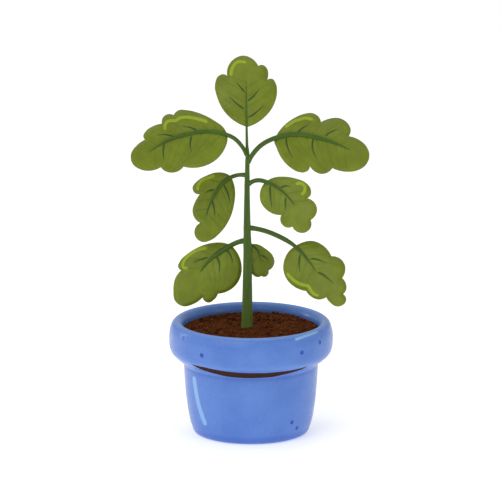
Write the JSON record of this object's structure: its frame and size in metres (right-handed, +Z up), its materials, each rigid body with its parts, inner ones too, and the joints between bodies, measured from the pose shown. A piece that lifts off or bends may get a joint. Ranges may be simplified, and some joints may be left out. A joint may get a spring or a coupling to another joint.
{
  "type": "potted basil plant",
  "caption": "Herb plant with lobed leaves on curved stalks along an upright stem, rooted in soil in a round glazed pot with a thick rolled collar and a drainage hole.",
  "frame": {"origin": "centre of the pot's base, on the surface that it stands on", "axes": "+Z up along the pot's axis and the stem; +X to the right and -Y towards the viewer when the plant is seen from its front"},
  "size_m": [0.1905, 0.1314, 0.3022],
  "materials": {
    "pot_glaze": "cornflower blue glaze, glossy, with small dark blue specks and bare brown clay under the collar",
    "soil": "dark brown crumbly potting soil, matt",
    "stem": "dark green, satin",
    "leaf": "olive green, satin, with darker side veins and a lighter green edge light"
  },
  "bodies": {
    "root": {"pot": "pot_glaze", "soil": "soil", "stem": "stem", "stalk_top": "stem", "stalk_upper_left": "stem", "stalk_upper_right": "stem", "stalk_middle_left": "stem", "stalk_middle_right": "stem", "stalk_lower_left": "stem", "stalk_lower_right": "stem", "stalk_small": "stem", "leaf_top": "leaf", "leaf_upper_left": "leaf", "leaf_upper_right": "leaf", "leaf_middle_left": "leaf", "leaf_middle_right": "leaf", "leaf_lower_left": "leaf", "leaf_lower_right": "leaf", "leaf_small": "leaf"}
  },
  "joints": []
}
